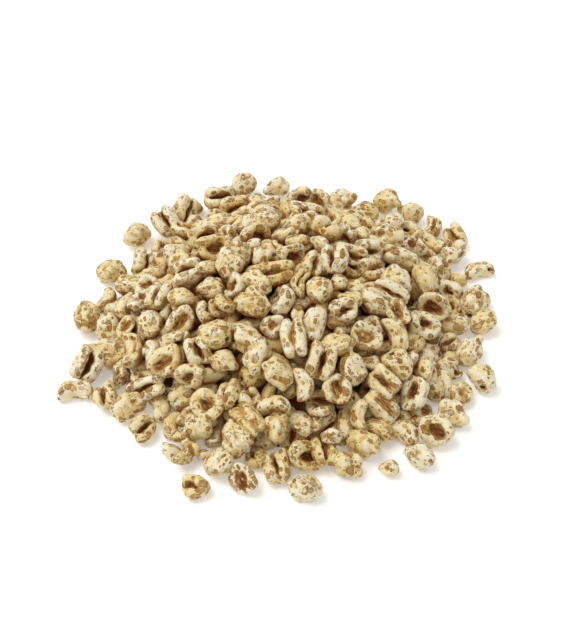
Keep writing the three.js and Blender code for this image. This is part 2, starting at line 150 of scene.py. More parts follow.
# Kernels let down onto the heap before its last layer, in the same way
crest = [
    ("bun", -148, 2, -5, 35),
    ("nubbed", -123, 15, -45, 180),
    ("crooked", -135, 9, -55, 180),
    ("plump", 147, 14, 95, 180),
    ("plump", 166, 15, 75, 180),
    ("curled", 60, 8, 20, 40),
    ("plump", -30, 14, 80, 180),
    ("creased", 18, 18, 80, -20),
    ("curled", -143, 20, 90, 30),
    ("bun", -62, 22, 75, 160),
    ("nubbed", -171, 21, 5, 20),
    ("curled", -152, 25, 90, 35),
    ("gaped", 146, 24, 20, 30),
    ("bun", -79, 25, -85, 10),
    ("nubbed", -112, 25, -65, 190),
    ("plump", -3, 23, 0, 180),
    ("curled", -36, 24, 25, 35),
    ("creased", 54, 25, 70, 20),
    ("plump", 76, 27, 95, 180),
    ("plump", 100, 26, 40, 170),
    ("plump", -132, 28, -15, 180),
    ("creased", 170, 28, -5, 20),
    ("nubbed", -102, 30, 80, 180),
    ("plump", -168, 30, -20, 180),
    ("nubbed", -54, 30, 15, 190),
    ("plump", -13, 30, -25, 160),
    ("creased", 16, 30, 45, 20),
    ("creased", 31, 32, 15, 50),
    ("gaped", -157, 32, 40, 40),
    ("creased", 137, 32, 45, 20),
    ("creased", -67, 32, 75, 15),
    ("nubbed", -118, 33, -25, 200),
    ("nubbed", 156, 34, 0, 180),
    ("gaped", -38, 33, -5, 45),
    ("nubbed", -90, 34, -25, 180),
    ("creased", -134, 34, -65, 20),
    ("curled", -148, 36, 5, 60),
    ("plump", -54, 37, -60, 180),
    ("crooked", -79, 37, -75, 180),
    ("nubbed", 8, 37, 5, 180),
    ("gaped", -14, 37, -65, -10),
    ("plump", 53, 38, 90, 180),
    ("crooked", -26, 39, -70, 180),
    ("plump", -167, 40, 105, 180),
    ("gaped", -64, 40, -70, 15),
    ("gaped", -130, 40, -10, 60),
    ("bun", 25, 43, 0, 180),
    ("gaped", -145, 41, 15, 30),
    ("popped", 178, 43, 15, 0),
    ("nubbed", 37, 44, 15, 180),
    ("crooked", -92, 41, -5, 180),
    ("plump", -36, 44, -25, 180),
    ("creased", -46, 45, -40, 30),
    ("gaped", -117, 45, -45, 35),
    ("gaped", -11, 45, -5, 35),
    ("nubbed", -91, 47, 65, 180),
    ("bun", -101, 46, -45, 180),
    ("popped", -79, 47, 15, 0),
    ("gaped", 2, 48, -15, 50),
    ("nubbed", 13, 47, 85, 180),
    ("bun", -144, 49, -5, 40),
    ("crooked", -60, 48, 80, 180),
    ("crooked", -161, 47, 95, 0),
    ("bun", -51, 49, -35, 180),
    ("gaped", -39, 52, 75, -20),
    ("creased", -118, 50, -20, 180),
    ("nubbed", -104, 51, -65, 190),
    ("popped", -71, 50, 55, 0),
    ("bun", 48, 53, 20, 180),
]

pour = {
    "seed": 4021,
    "drops": 5000,
    "crestAfter": 1500,  # drops
    "lastLayer": 5,  # thickness of what is poured after that
    "slide": 0.9,  # sideways, in one move while settling
    "twist": 0.22,  # in radians, in the same move
    "moves": 26,
    "leastFall": 0.01,  # a move has to bring a kernel at least this much lower
    "steepest": 0.62,  # slope of a kernel's long axis
    "clearance": 0.6,  # round a kernel that lies apart
    "sizeSpread": 0.15,
    "shapeSpread": 0.2,
    "tipShare": 0.72,  # radius of a kernel's ends over that of its middle
    "closeness": 0.95,  # kernels nestle a little into each other's hollows
    "lip": 0.4,  # how far those on the table may stand out of the mound's edge
    "proud": 1,  # the same for a kernel laid from the lists, anywhere
    "bare": 0.6,  # share of their radii that others keep away from it, where they would hide it
}


# The same stream of random numbers as the solid model's, from 0 to 1
def makeRandom(seed):
    state = seed
    while True:
        state = state * 16807 % 2147483647
        yield state / 2147483647


draws = makeRandom(pour["seed"])


# How far out the mound's edge is, in the direction of a spot
def rimAt(x, y):
    angle = np.arctan2(y, x)
    reach = mound["reach"]
    for count, depth, turn in mound["lobes"]:
        reach = reach + depth * np.cos(count * (angle - math.radians(turn)))
    return reach


def surfaceAt(x, y):
    share = np.minimum(np.hypot(x, y) / rimAt(x, y), 1)
    depth, length = mound["ripple"]
    wave = 2 * math.pi / length
    ripple = depth * np.sin(wave * x + 1) * np.sin(wave * y + 2)
    slope = np.maximum(np.cos(math.pi / 2 * share), 0) ** mound["roundness"]
    return np.where(share < 1, (mound["height"] + ripple) * slope, 0)


def coreAt(x, y):
    return np.maximum(0, surfaceAt(x, y) - mound["cover"])


# A kernel of a kind that is given or drawn, in millimetres, with the three balls that stand for it
def drawKernel(given=None):
    pick = next(draws) * sum(kind[0] for kind in kinds.values())
    for name, kind in kinds.items():
        pick -= kind[0]
        if pick <= 0:
            break
    name = given or name
    _, length, width, thickness, _ = kinds[name]
    size = 1 + pour["sizeSpread"] * (next(draws) + next(draws) + next(draws) - 1.5)
    length = length * size * (1 + pour["shapeSpread"] * (next(draws) - 0.5))
    thickness = thickness * size * (1 + pour["shapeSpread"] * (next(draws) - 0.5))
    width = width * size
    radius = pour["closeness"] * (width + thickness) / 4
    tip = radius * pour["tipShare"]
    return {"kind": name, "length": length, "width": width, "thickness": thickness,
            "radii": np.array([tip, radius, tip]), "half": length / 2 - tip}


def drawTurn(kernel):
    heading = 2 * math.pi * next(draws)
    return heading, math.radians(kinds[kernel["kind"]][4]) * (2 * next(draws) - 1)


def lying(kernel, x, y, z, heading, pitch, roll, apart=False):
    return {**kernel, "x": x, "y": y, "z": z, "heading": heading, "pitch": pitch, "roll": roll,
            "apart": apart}


ends = np.array([-1, 0, 1])


# The middles of a kernel's three balls, for each of the lies given
def ballsOf(kernel, x, y, z, heading, pitch):
    along = ends * kernel["half"]
    flat = along * np.cos(pitch)
    return x + flat * np.cos(heading), y + flat * np.sin(heading), z + along * np.sin(pitch)


# Lets a kernel down at several places at once, onto the balls near them. Gives its height and pitch.
def letDown(kernel, x, y, heading, pitch, balls):
    mineX, mineY, _ = ballsOf(kernel, x[:, None], y[:, None], 0, heading[:, None], pitch[:, None])
    low = coreAt(mineX, mineY) + kernel["radii"]
    if len(balls):
        gap = kernel["radii"][:, None] + balls[:, 3]
        away = (mineX[:, :, None] - balls[:, 0]) ** 2 + (mineY[:, :, None] - balls[:, 1]) ** 2
        over = gap * gap - away
        tops = np.where(over > 0, balls[:, 2] + np.sqrt(np.maximum(over, 0)), 0)
        low = np.maximum(low, tops.max(axis=2))
    first, middle, last = low.T
    z = np.maximum(middle, (first + last) / 2)
    rise = np.clip((last - first) / 2, last - z, z - first) / kernel["half"]
    return z, np.arctan(np.clip(rise, -pour["steepest"], pour["steepest"]))


# The same at one place
def letDownOne(kernel, x, y, heading, balls):
    z, pitch = letDown(kernel, np.array([x]), np.array([y]), np.array([heading]), np.zeros(1), balls)
    return z[0], pitch[0]


sides = np.arange(8)
sidesX = pour["slide"] * np.cos(math.pi / 4 * sides)
sidesY = pour["slide"] * np.sin(math.pi / 4 * sides)
turns = np.where(sides % 2, pour["twist"], -pour["twist"])


# Slides and turns a kernel as long as that lets it down further
def settle(kernel, x, y, heading, balls):
    widest = kernel["length"] + kinds["bun"][1]
    far = pour["moves"] * pour["slide"] + widest
    near = balls[(balls[:, 0] - x) ** 2 + (balls[:, 1] - y) ** 2 < far ** 2]

    def closest():
        return near[(near[:, 0] - x) ** 2 + (near[:, 1] - y) ** 2 < widest ** 2]

    z, pitch = letDownOne(kernel, x, y, heading, closest())
    for _ in range(pour["moves"]):
        nextX, nextY, nextHeading = x + sidesX, y + sidesY, heading + turns
        nextZ, nextPitch = letDown(kernel, nextX, nextY, nextHeading, np.full(8, pitch), closest())
        best, lowest = None, z
        for side in range(8):
            if nextZ[side] < lowest - pour["leastFall"]:
                best, lowest = side, nextZ[side]
        if best is None:
            break
        x, y, z = nextX[best], nextY[best], nextZ[best]
        heading, pitch = nextHeading[best], nextPitch[best]
    return x, y, z, heading, pitch


# Whether a kernel would hide one that was laid from the lists
def covers(kernel, lie, laid):
    x, y, z = ballsOf(kernel, *lie)
    gap = pour["bare"] * (kernel["radii"][:, None] + laid[:, 3])
    away = (x[:, None] - laid[:, 0]) ** 2 + (y[:, None] - laid[:, 1]) ** 2
    return bool(((away < gap * gap) & (z[:, None] > laid[:, 2])).any())


# The rim's kernels first, then the rest, with the crest's kernels laid in before the last layer
def pourKernels():
    kernels = []
    balls = np.zeros((0, 4))
    laid = np.zeros((0, 4))

    def keep(kernel, lie, roll, apart=False):
        nonlocal balls
        x, y, z, heading, pitch = [math.floor(value * 1000 + 0.5) / 1000 for value in lie]
        ballX, ballY, ballZ = ballsOf(kernel, x, y, z, heading, pitch)
        radii = kernel["radii"] + (pour["clearance"] if apart else 0)
        balls = np.vstack([balls, np.column_stack([ballX, ballY, ballZ, radii])])
        kernels.append(lying(kernel, x, y, z, heading, pitch, roll, apart))
        return balls[-3:]

    def letDownAt(name, at, reach, heading, roll, apart=False):
        nonlocal laid
        kernel = drawKernel(name)
        x, y = reach * math.cos(math.radians(at)), reach * math.sin(math.radians(at))
        heading = math.radians(heading)
        z, pitch = letDownOne(kernel, x, y, heading, balls)
        highest = max(float(surfaceAt(x, y)), kernel["radii"][1]) + pour["proud"]
        placed = keep(kernel, (x, y, min(z, highest), heading, pitch), math.radians(roll), apart)
        laid = np.vstack([laid, placed])

    for spot in rim:
        letDownAt(*spot)
    for drop in range(pour["drops"]):
        if drop == pour["crestAfter"]:
            for spot in crest:
                letDownAt(*spot)
        kernel = drawKernel()
        angle = 2 * math.pi * next(draws)
        reach = math.sqrt(next(draws)) * mound["reach"]
        heading, roll = drawTurn(kernel)
        lie = settle(kernel, reach * math.cos(angle), reach * math.sin(angle), heading, balls)
        inside = math.hypot(lie[0], lie[1]) <= rimAt(lie[0], lie[1])
        toCome = pour["lastLayer"] if drop < pour["crestAfter"] else 0
        highest = max(surfaceAt(lie[0], lie[1]) - toCome, kernel["radii"][1] + pour["lip"])
        if inside and lie[2] <= highest and not covers(kernel, lie, laid):
            keep(kernel, lie, roll)
    return kernels


gaps = {
    "step": 2,  # millimetres between the spots looked at
    "span": 72,  # from the axis to the outermost spots
    "reach": 0.92,  # share of the mound's reach that is looked at
    "deep": 5.5,  # a gap this far below the heap's surface gets a kernel
    "wide": 2.6,  # from the middle of such a gap to its sides
    "low": 2,  # how far its kernel stays below the heap's surface
    "bare": 0.68,  # near the rim, a gap this share of the way down to the table gets one too
    "small": ("crumb", "crooked"),  # what goes into those at the rim, in turn
}


# Kernels down in the deep gaps that are left, pressed in between the others
def fillGaps(kernels, balls):
    spots = np.arange(-gaps["span"], gaps["span"] + 1, gaps["step"])
    x, y = [part.ravel() for part in np.meshgrid(spots, spots)]
    inside = np.hypot(x, y) < gaps["reach"] * rimAt(x, y)
    x, y = x[inside], y[inside]
    near = ((x[:, None] - x) ** 2 + (y[:, None] - y) ** 2 < gaps["wide"] ** 2).astype(float)
    near /= near.sum(axis=1)[:, None]

    def topsOf(balls):
        over = balls[:, 3] ** 2 - (x[:, None] - balls[:, 0]) ** 2 - (y[:, None] - balls[:, 1]) ** 2
        return np.where(over > 0, balls[:, 2] + np.sqrt(np.maximum(over, 0)), 0).max(axis=1)

    surface = surfaceAt(x, y)
    tops = topsOf(balls)
    while True:
        depths = near @ (surface - tops) / np.minimum(gaps["deep"], gaps["bare"] * surface)
        spot = int(np.argmax(depths))
        if depths[spot] < 1:
            return
        atRim = surface[spot] < gaps["deep"] / gaps["bare"]
        kernel = drawKernel(gaps["small"][len(kernels) % 2] if atRim else None)
        radius = kernel["radii"][1]
        z = max(float(surface[spot]) - gaps["low"] - radius, radius)
        heading, roll = drawTurn(kernel)
        kernels.append(lying(kernel, float(x[spot]), float(y[spot]), z, heading, 0.0, roll))
        placed = np.column_stack([*ballsOf(kernel, x[spot], y[spot], z, heading, 0.0), kernel["radii"]])
        tops = np.maximum(tops, topsOf(placed))
        tops[spot] = max(tops[spot], z + radius)


# Distances in millimetres, negative inside. A kernel's length is along x and its belly faces +z.
def smoothMin(a, b, blend):
    mix = np.clip(0.5 + 0.5 * (b - a) / blend, 0, 1)
    return b + (a - b) * mix - blend * mix * (1 - mix)


def smoothMax(a, b, blend):
    return -smoothMin(-a, -b, blend)


def ellipsoid(x, y, z, radii, power=2.0):
    u, v, w = x / radii[0], y / radii[1], z / radii[2]
    reach = (np.abs(u) ** power + np.abs(v) ** power + np.abs(w) ** power) ** (1 / power) + 1e-6
    steepness = np.sqrt((u / radii[0]) ** 2 + (v / radii[1]) ** 2 + (w / radii[2]) ** 2) + 1e-6
    return reach * (reach - 1) / steepness


def ball(x, y, z, middle, radius):
    return np.sqrt((x - middle[0]) ** 2 + (y - middle[1]) ** 2 + (z - middle[2]) ** 2) - radius


# Several waves that cross at random, for lumps and roughness
def makeWaves(rng, count, length):
    directions = rng.normal(size=(count, 3))
    directions /= np.linalg.norm(directions, axis=1)[:, None]
    directions *= 2 * math.pi / (length * rng.uniform(0.7, 1.4, (count, 1)))
    phases = rng.uniform(0, 2 * math.pi, count)

    def waves(x, y, z):
        total = 0
        for (u, v, w), phase in zip(directions, phases):
            total = total + np.sin(u * x + v * y + w * z + phase)
        return total / math.sqrt(count)
    return waves


# Cuts a dark hole into a kernel near one of its tips, in the given share of kernels
def makePinhole(rng, chance, a, b, c, blend=0.25):
    if rng.random() >= chance:
        return lambda solid, x, y, z: solid
    end = rng.choice([-1, 1])
    side = rng.uniform(-0.6, 0.6)
    up = rng.uniform(-0.6, 0.6)
    mouth = np.array([end * 0.8 * a, side * b, up * c])
    inward = -mouth / np.linalg.norm(mouth)
    radius, depth = rng.uniform(0.65, 0.9), rng.uniform(1.8, 2.8)

    def pierce(solid, x, y, z):
        along = np.clip((x - mouth[0]) * inward[0] + (y - mouth[1]) * inward[1]
                        + (z - mouth[2]) * inward[2], -1.5, depth)
        middle = [mouth[i] + along * inward[i] for i in range(3)]
        hole = ball(x, y, z, middle, radius * (1 - 0.3 * np.maximum(along, 0) / depth))
        return smoothMax(solid, -hole, blend)
    return pierce


# The furrow along a kernel's belly, a wavy V: how wide and deep it is, and how far it runs
def makeFurrow(rng, a, c, width, depth, run):
    sway, phase = rng.uniform(0.1, 0.4), rng.uniform(0, 2 * math.pi, 2)
    lean = rng.uniform(-0.3, 0.3)
    ragged = makeWaves(rng, 5, 1.6)
    strand = rng.uniform(0.1, 0.4)

    def furrow(x, y, z):
        share = np.clip(1 - (x / (run * a)) ** 2, 0, 1)
        middle = sway * np.sin(1.2 * math.pi * x / a + phase[0]) + lean * (c - z)
        middle = middle + 0.12 * np.sin(3.3 * math.pi * x / a + phase[1])
        bottom = c - depth * np.sqrt(share)
        slope = width / depth
        across = (np.abs(y - middle) - slope * (z - bottom) - 0.15) / math.sqrt(1 + slope * slope)
        groove = smoothMax(across, np.abs(x) - run * a, 0.5)
        thread = np.sqrt((y - middle - strand) ** 2 + (z - bottom - 0.2) ** 2) - 0.3
        return smoothMax(groove, -thread, 0.3) + 0.1 * ragged(0.5 * x, y, z)
    return furrow


# A blunt body with a few flattened patches
def makeBody(rng, a, b, c, power=2.2, patches=6, lumpiness=0.24):
    taper, twist = rng.uniform(-0.15, 0.15), rng.uniform(-0.12, 0.12)
    normals = rng.normal(size=(patches, 3))
    normals /= np.linalg.norm(normals, axis=1)[:, None]
    reaches = np.sqrt(((normals * (a, b, c)) ** 2).sum(axis=1)) * rng.uniform(0.9, 0.98, patches)
    lumps, wrinkles = makeWaves(rng, 5, 5.0), makeWaves(rng, 6, 2.6)

    def body(x, y, z):
        swell = 1 + taper * x / a
        solid = ellipsoid(x, (y - twist * x) / swell, z / swell, (a, b, c), power)
        for (u, v, w), reach in zip(normals, reaches):
            solid = smoothMax(solid, u * x + v * y + w * z - reach, 2.0)
        return solid + lumpiness * lumps(x, y, z) + 0.1 * wrinkles(x, y, z)
    return body


# Each kind's shape gives two distances at a point: to the kernel itself, and to its hull, which has
# no furrow. a, b and c are half its length, width and thickness.

# Puffed all round, with a short furrow, and often a pinhole
def plumpShape(rng, a, b, c):
    body = makeBody(rng, a, b, c)
    furrow = makeFurrow(rng, a, c, 0.8, rng.uniform(0.9, 1.7), rng.uniform(0.5, 0.75))
    pierce = makePinhole(rng, 0.7, a, b, c)

    def field(x, y, z):
        hull = body(x, y, z)
        return pierce(smoothMax(hull, -furrow(x, y, z), 0.7), x, y, z), hull
    return field


# Plump, with a knob at one tip and two bulges
def nubbedShape(rng, a, b, c):
    body = makeBody(rng, 0.9 * a, 0.96 * b, 0.96 * c, lumpiness=0.34)
    end = rng.choice([-1, 1])
    nub = (end * 0.86 * a, rng.uniform(-0.35, 0.35) * b, rng.uniform(-0.3, 0.3) * c)
    nubRadius = rng.uniform(1.1, 1.6)
    bulges = [((rng.uniform(-0.5, 0.5) * a, rng.choice([-1, 1]) * rng.uniform(0.35, 0.55) * b,
                rng.uniform(-0.5, 0.5) * c), rng.uniform(0.48, 0.62) * b) for _ in range(2)]
    furrow = makeFurrow(rng, a, c, 0.9, rng.uniform(1.2, 2.0), 0.6)
    pierce = makePinhole(rng, 0.6, a, b, c)

    def field(x, y, z):
        hull = smoothMin(body(x, y, z), ball(x, y, z, nub, nubRadius), 1.1)
        for middle, radius in bulges:
            hull = smoothMin(hull, ball(x, y, z, middle, radius), 0.5)
        return pierce(smoothMax(hull, -furrow(x, y, z), 0.7), x, y, z), hull
    return field


# Two lips with a deep furrow between them
def creasedShape(rng, a, b, c):
    body = makeBody(rng, 0.95 * a, 0.84 * b, 0.86 * c, patches=4)
    furrow = makeFurrow(rng, a, c, rng.uniform(0.8, 1.5), rng.uniform(0.8, 1.15) * c,
                        rng.uniform(0.74, 0.92))
    lips = makeWaves(rng, 3, 4.5)
    tilt = rng.uniform(-0.12, 0.12)

    def field(x, y, z):
        hull = body(x, y, z)
        for side in (-1, 1):
            lip = ellipsoid(x, y - side * 0.5 * b - tilt * x, z - 0.3 * c,
                            (0.9 * a, 0.5 * b, 0.68 * c), 2.4)
            hull = smoothMin(hull, lip + 0.14 * lips(x, y, side * z), 0.7)
        return smoothMax(hull, -furrow(x, y, z), 0.55), ellipsoid(x, y, z, (a, b, c), 2.3)
    return field


# Burst open into a bowl with a rolled rim
def gapedShape(rng, a, b, c):
    lip = rng.uniform(0.27, 0.36) * min(b, 1.35 * c)
    power = rng.uniform(1.75, 2.3)
    gape = rng.choice([0, math.pi]) + rng.uniform(-0.9, 0.9)  # the side it opens towards
    droop, thin = rng.uniform(0.0, 0.7) * c, rng.uniform(0.0, 0.4)
    saddle = rng.uniform(0.0, 0.9)
    beat = rng.uniform(0, 2 * math.pi, 3)
    lumps = makeWaves(rng, 5, 4.5)
    ribs = makeWaves(rng, 6, 1.5)
    body = makeBody(rng, 0.96 * a, 0.94 * b, c, patches=4)
    cavity = (a - 1.1 * lip, b - rng.uniform(1.6, 2.2) * lip, rng.uniform(0.8, 1.15) * c)
    ridge = rng.uniform(0.2, 0.9)
    aside = rng.uniform(0.0, 0.2) * np.array([a * math.cos(gape), b * math.sin(gape)])

    def field(x, y, z):
        angle = np.arctan2(y / b, x / a)
        gaping = np.clip(np.cos(angle - gape), 0, 1) ** 3
        level = 0.38 * c + saddle * ((x / a) ** 2 - (y / b) ** 2) + 0.25 * np.sin(3 * angle + beat[2])
        level = level - droop * gaping
        u, v = np.abs(x / (a - lip)), np.abs(y / (b - lip))
        ring = (u ** power + v ** power) ** (1 / power) + 1e-6
        steepness = np.sqrt((u / (a - lip)) ** 2 + (v / (b - lip)) ** 2) + 1e-6
        across = ring * (ring - 1) / steepness
        fat = lip * (1 + 0.2 * np.sin(2 * angle + beat[0]) + 0.08 * np.sin(5 * angle + beat[1])
                     - thin * gaping)
        rimRoll = np.sqrt(across ** 2 + (z - level) ** 2) - fat
        hollow = ellipsoid(x - aside[0], y - aside[1], z - c, cavity, 1.9) - 0.3 * ribs(0.45 * x, y, z)
        bowl = smoothMax(body(x, y, z), z - level - 0.2 * c, 0.6)
        bowl = smoothMax(bowl, -hollow, 0.6)
        strand = np.sqrt((y - 0.5 * np.sin(x + beat[1])) ** 2 + (z - c + cavity[2]) ** 2) - ridge
        bowl = smoothMin(bowl, smoothMax(strand, np.abs(x) - 0.7 * a, 0.3), 0.5)
        solid = smoothMin(bowl, rimRoll + 0.12 * lumps(x, y, z), 0.5)
        return solid, ellipsoid(x, y, z, (a, b, c), 2.4)
    return field


# A roll bent round into a ring that doesn't close, with a thin skin across it
def curledShape(rng, a, b, c):
    tube = rng.uniform(0.66, 0.84) * c * 0.8
    radius = a - tube
    squash = (b - tube) / radius
    half = math.radians(rng.uniform(125, 165))
    start = rng.uniform(0, 2 * math.pi)
    rise = rng.uniform(-0.5, 0.5) * c
    lumps = makeWaves(rng, 5, 4.0)
    web = rng.uniform(0.5, 0.9)
    beat = rng.uniform(0, 2 * math.pi)

    def field(x, y, z):
        angle = np.arctan2(y / squash, x) - start
        angle = (angle + math.pi) % (2 * math.pi) - math.pi
        angle = np.clip(angle, -half, half)
        thick = tube * (1 + 0.14 * np.sin(3 * angle + beat)) * (1 - 0.3 * (np.abs(angle) / half) ** 4)
        midX, midY = radius * np.cos(angle + start), squash * radius * np.sin(angle + start)
        coil = ball(x, y, z, (midX, midY, rise * angle / half), thick)
        skin = ellipsoid(x, y, z + 0.25 * c, (0.85 * a, 0.85 * b, web), 2.0)
        solid = smoothMin(coil + 0.14 * lumps(x, y, z), skin, 0.6)
        return solid, ellipsoid(x, y, z, (a, b, 0.95 * c), 2.4)
    return field


# Long and split like a bread bun
def bunShape(rng, a, b, c):
    body = makeBody(rng, 0.95 * a, 0.8 * b, 0.85 * c, power=2.8, patches=3)
    spread, bulge = 0.5 * b, rng.uniform(0.0, 0.5)
    lumps = makeWaves(rng, 4, 5.0)
    furrow = makeFurrow(rng, a, c, rng.uniform(0.8, 1.2), rng.uniform(1.7, 2.4), 0.88)
    bend = rng.uniform(-0.4, 0.4)

    def field(x, y, z):
        y = y - bend * (x / a) ** 2
        hull = body(x, y, z)
        for side in (-1, 1):
            middle = side * (spread + bulge * (0.5 - (x / a) ** 2))
            roll = ellipsoid(x, y - middle, z - 0.28 * c, (a, 0.52 * b, 0.72 * c), 2.9)
            hull = smoothMin(hull, roll + 0.12 * lumps(x, side * y, z), 0.5)
        return smoothMax(hull, -furrow(x, y, z), 0.45), ellipsoid(x, y, z, (a, b, c), 3.0)
    return field


# Thin and bent
def crookedShape(rng, a, b, c):
    lumps = makeWaves(rng, 5, 4.5)
    thinness = rng.uniform(0.0, 0.25)
    furrow = makeFurrow(rng, a, c, rng.uniform(0.6, 0.9), rng.uniform(0.9, 1.5), rng.uniform(0.6, 0.85))
    pierce = makePinhole(rng, 0.35, a, b, c, blend=0.3)

    def field(x, y, z):
        waist = 1 - thinness * np.cos(math.pi * x / a) * 0.6
        hull = ellipsoid(x, y / waist, z / waist, (a, b, c), 2.7) + 0.18 * lumps(x, y, z)
        return pierce(smoothMax(hull, -furrow(x, y, z), 0.5), x, y, z), hull
    return field


# Bubbles of crumb with torn edges
def poppedShape(rng, a, b, c):
    bubbles = 8
    spots = rng.uniform(-0.62, 0.62, (bubbles, 3)) * (a, b, c)
    sizes = rng.uniform(0.36, 0.6, bubbles) * c
    lumps = makeWaves(rng, 8, 2.4)
    tears = [(rng.uniform(-0.7, 0.7, 3) * (a, b, c), rng.uniform(0.7, 1.2)) for _ in range(3)]

    def field(x, y, z):
        solid = ellipsoid(x, y, z, (0.75 * a, 0.6 * b, 0.55 * c))
        for spot, size in zip(spots, sizes):
            solid = smoothMin(solid, ball(x, y, z, spot, size), 0.6)
        solid = solid + 0.22 * lumps(x, y, z)
        for spot, size in tears:
            solid = smoothMax(solid, -ball(x, y, z, spot * 1.25, size), 0.3)
        return solid, ellipsoid(x, y, z, (0.95 * a, 0.95 * b, 0.95 * c))
    return field


# A broken piece with flat sides and a dent
def crumbShape(rng, a, b, c):
    body = makeBody(rng, a, b, c, patches=9, lumpiness=0.3)
    dent = rng.uniform(-0.5, 0.5, 3) * (a, b, c) + (0, 0, c)

    def field(x, y, z):
        hull = body(x, y, z)
        return smoothMax(hull, -ball(x, y, z, dent, 0.9), 0.5), hull
    return field


# how each kind is made, how far it bends sideways as a share of its length, the size of its quads,
# and the depths under its hull over which bran comes to show
shapes = {
    "plump": (plumpShape, 0, 0.46, 0.25, 1.2),
    "nubbed": (nubbedShape, 0.02, 0.48, 0.25, 1.2),
    "creased": (creasedShape, 0.04, 0.46, 0.8, 2.0),
    "gaped": (gapedShape, 0.06, 0.42, 1.0, 2.4),
    "curled": (curledShape, 0.1, 0.42, 1.1, 2.4),
    "bun": (bunShape, 0.04, 0.46, 0.5, 1.5),
    "crooked": (crookedShape, 0.2, 0.42, 0.3, 1.1),
    "popped": (poppedShape, 0.1, 0.42, 0.6, 2.2),
    "crumb": (crumbShape, 0, 0.4, 0.4, 1.4),
}

corners = np.array(list(itertools.product((0, 1), repeat=3)))
edges = [(i, j) for i, j in itertools.combinations(range(8), 2)
         if np.abs(corners[i] - corners[j]).sum() == 1]


# A mesh of quads round where the field is negative: one point in each cell that the surface crosses
def surfaceNet(field, low, high, cell):
    steps = np.ceil((high - low) / cell).astype(int) + 1
    axes = [low[i] + cell * np.arange(steps[i]) for i in range(3)]
    grid = np.meshgrid(*axes, indexing="ij")
    values = field(*grid)[0]
    inside = values < 0
    cells = [values[i:steps[0] - 1 + i, j:steps[1] - 1 + j, k:steps[2] - 1 + k] for i, j, k in corners]
    held = sum((part < 0).astype(int) for part in cells)
    mixed = (held > 0) & (held < 8)
    at = np.argwhere(mixed)
    around = np.stack([part[mixed] for part in cells], axis=1)
    total, count = np.zeros((len(at), 3)), np.zeros(len(at))
    for i, j in edges:
        first, second = around[:, i], around[:, j]
        crossed = (first < 0) != (second < 0)
        share = np.where(crossed, first / np.where(crossed, first - second, 1), 0)
        total += np.where(crossed[:, None], corners[i] + share[:, None] * (corners[j] - corners[i]), 0)
        count += crossed
    points = low + cell * (at + total / count[:, None])
    number = np.full(mixed.shape, -1)
    number[mixed] = np.arange(len(at))
    quads = []
    for axis in range(3):
        one, two = [other for other in range(3) if other != axis]
        ahead = np.take(inside, range(1, steps[axis]), axis)
        behind = np.take(inside, range(steps[axis] - 1), axis)
        for out in (True, False):
            spots = np.argwhere((behind & ~ahead) if out else (~behind & ahead))
            spots = spots[(spots[:, one] > 0) & (spots[:, two] > 0)]
            spots = spots[(spots[:, one] < steps[one] - 1) & (spots[:, two] < steps[two] - 1)]
            quad = []
            for back, left in ((1, 1), (0, 1), (0, 0), (1, 0)):
                spot = spots.copy()
                spot[:, one] -= back
                spot[:, two] -= left
                quad.append(number[tuple(spot.T)])
            quad = np.stack(quad, axis=1)
            quads.append(quad if out == (axis != 1) else quad[:, ::-1])
    return points, np.concatenate(quads)


# Moves a net's points onto the surface itself
def tighten(field, points, cell):
    for _ in range(2):
        x, y, z = points.T
        here = field(x, y, z)[0]
        nudge = 0.1 * cell
        slope = np.stack([field(x + nudge, y, z)[0] - here, field(x, y + nudge, z)[0] - here,
                          field(x, y, z + nudge)[0] - here], axis=1) / nudge
        move = here[:, None] * slope / np.maximum((slope ** 2).sum(axis=1), 0.05)[:, None]
        points = points - np.clip(move, -0.5 * cell, 0.5 * cell)
    return points


# Adds up what a mesh's quads hold at each of their points
def gather(quads, values, count):
    return np.stack([np.bincount(quads.ravel(), np.repeat(value, 4), count) for value in values.T], axis=1)


def normalsOf(points, quads):
    corner = points[quads]
    facing = np.cross(corner[:, 2] - corner[:, 0], corner[:, 3] - corner[:, 1])
    normals = gather(quads, facing, len(points))
    return normals / (np.linalg.norm(normals, axis=1)[:, None] + 1e-9)


# How hollow a mesh is at each point: over nought in a dip and under nought on a ridge
def hollowsOf(points, quads):
    count = np.bincount(quads.ravel(), minlength=len(points))
    around = gather(quads, points[quads].mean(axis=1), len(points)) / count[:, None]
    hollows = ((around - points) * normalsOf(points, quads)).sum(axis=1)
    for _ in range(2):
        hollows = gather(quads, hollows[quads].mean(axis=1)[:, None], len(points))[:, 0] / count
    return hollows


# Reach and strength of the painted shade that darkens kernels where others crowd round them
paintedShade = {
    "far": 11,  # millimetres from a kernel's tips, beyond which others don't count
    "round": 0.15,  # how far round the side of a point others still count
    "strength": 0.75,
}


# How far each point of a kernel is hidden among the balls of the others, from 0 to 1: the mask of the
# painted shade between kernels
def occlusionOf(points, quads, kernel, others):
    normals = normalsOf(points, quads)
    far = kernel["length"] / 2 + paintedShade["far"]
    place = (kernel["x"], kernel["y"], kernel["z"])
    others = others[np.linalg.norm(others[:, :3] - place, axis=1) < far]
    away = others[None, :, :3] - points[:, None]
    distance = np.linalg.norm(away, axis=2)
    facing = (away * normals[:, None]).sum(axis=2) / distance
    size = (others[:, 3] / np.maximum(distance, others[:, 3])) ** 2
    cover = np.clip(facing + paintedShade["round"], 0, 1) * size
    return 1 - np.exp(-paintedShade["strength"] * cover.sum(axis=1))


model = {
    "seed": 1000,
    "buriedUnder": 5,  # millimetres below the heap's surface, where kernels have fewer faces
    "buriedCell": 1.7,  # times the size of the others' quads
    "room": (1.25, 0.6),  # times its size, and round that, where a kernel's surface is looked for
    "onTable": 0.5,  # kernels as near the table as this are set down on it
    "proud": 0.6,  # how far the topmost ones may stand above the solid model
}


